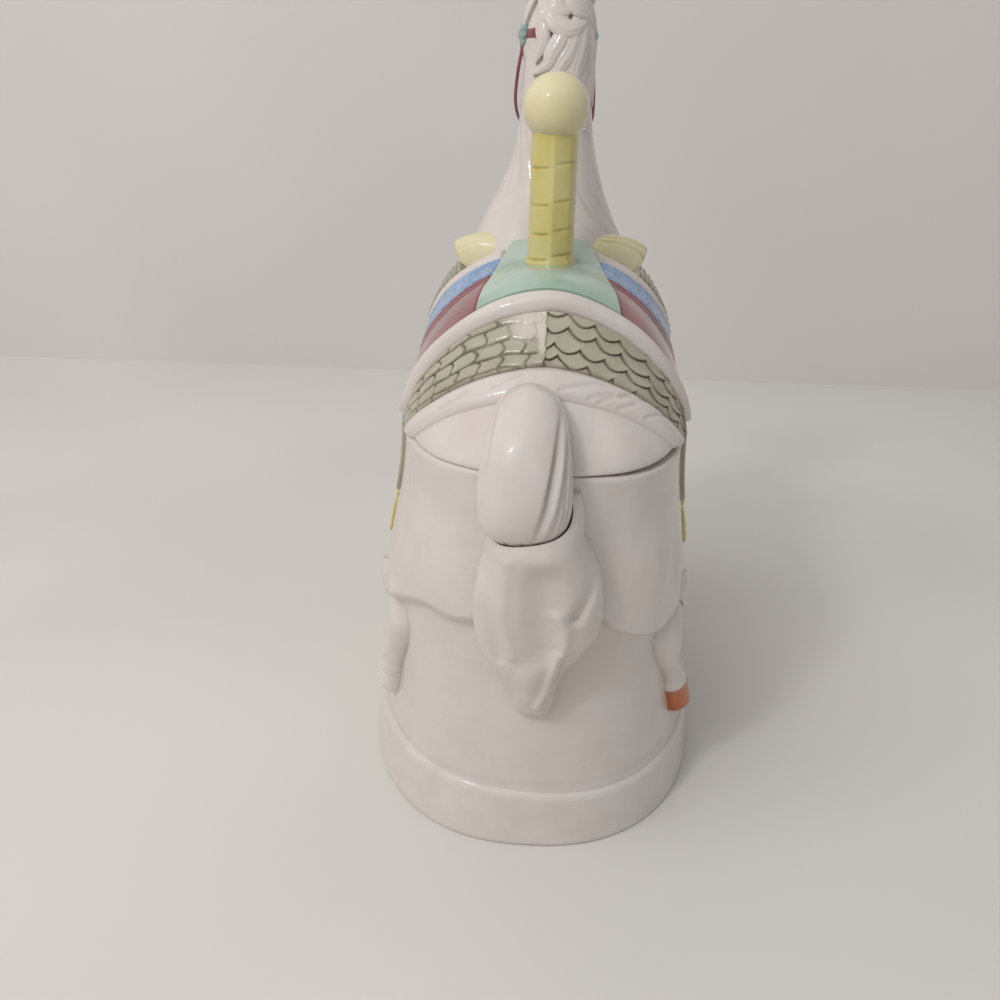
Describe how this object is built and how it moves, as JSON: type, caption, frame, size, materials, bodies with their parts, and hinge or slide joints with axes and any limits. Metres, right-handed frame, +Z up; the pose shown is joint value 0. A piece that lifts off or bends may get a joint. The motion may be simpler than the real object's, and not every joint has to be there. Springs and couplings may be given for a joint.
{
  "type": "cookie jar",
  "caption": "Glazed ceramic cookie jar shaped as a carousel horse on an oval plinth, with a lift-off lid formed as the saddled back, neck and head and a pole for a knob.",
  "frame": {"origin": "middle of the plinth's underside, on the surface that the jar stands on", "axes": "+Z up, +Y the way the horse faces, +X to its right-hand side as seen from behind"},
  "size_m": [0.1598, 0.2442, 0.357],
  "materials": {
    "white_glaze": "glossy",
    "scale_glaze": "satin",
    "mint_glaze": "glossy",
    "rose_glaze": "glossy",
    "blue_glaze": "satin",
    "yellow_glaze": "glossy",
    "cream_glaze": "glossy",
    "brown_glaze": "glossy",
    "teal_glaze": "satin"
  },
  "bodies": {
    "jar": {"jar_body": "white_glaze", "lower_tail": "white_glaze", "right_hind_leg": "white_glaze", "right_hind_hoof": "brown_glaze", "right_fore_leg": "white_glaze", "right_fore_hoof": "brown_glaze", "left_hind_leg": "white_glaze", "left_hind_hoof": "brown_glaze", "left_fore_leg": "white_glaze", "left_fore_hoof": "brown_glaze", "right_blanket_flap": "scale_glaze", "right_rear_tassel": "yellow_glaze", "right_front_tassel": "yellow_glaze", "left_blanket_flap": "scale_glaze", "left_rear_tassel": "yellow_glaze", "left_front_tassel": "yellow_glaze"},
    "lid": {"lid_shell": "white_glaze", "upper_tail": "white_glaze", "blanket_hem": "white_glaze", "scale_blanket": "scale_glaze", "cantle_rim": "white_glaze", "saddle_seat": "mint_glaze", "neck_and_head": "white_glaze", "mane": "white_glaze", "saddle_pole": "yellow_glaze", "pole_ball": "cream_glaze", "right_saddle_skirt": "rose_glaze", "right_blanket_band": "blue_glaze", "right_blanket_piping": "white_glaze", "right_blanket_fringe": "scale_glaze", "right_shoulder_roll": "cream_glaze", "right_ear": "white_glaze", "right_rosette": "teal_glaze", "left_saddle_skirt": "rose_glaze", "left_blanket_band": "blue_glaze", "left_blanket_piping": "white_glaze", "left_blanket_fringe": "scale_glaze", "left_shoulder_roll": "cream_glaze", "left_ear": "white_glaze", "left_rosette": "teal_glaze"}
  },
  "joints": [
    {"name": "lid_lift", "type": "slide", "parent": "jar", "child": "lid", "axis": [0, 0, 1], "range_m": [0, 0.15]}
  ]
}
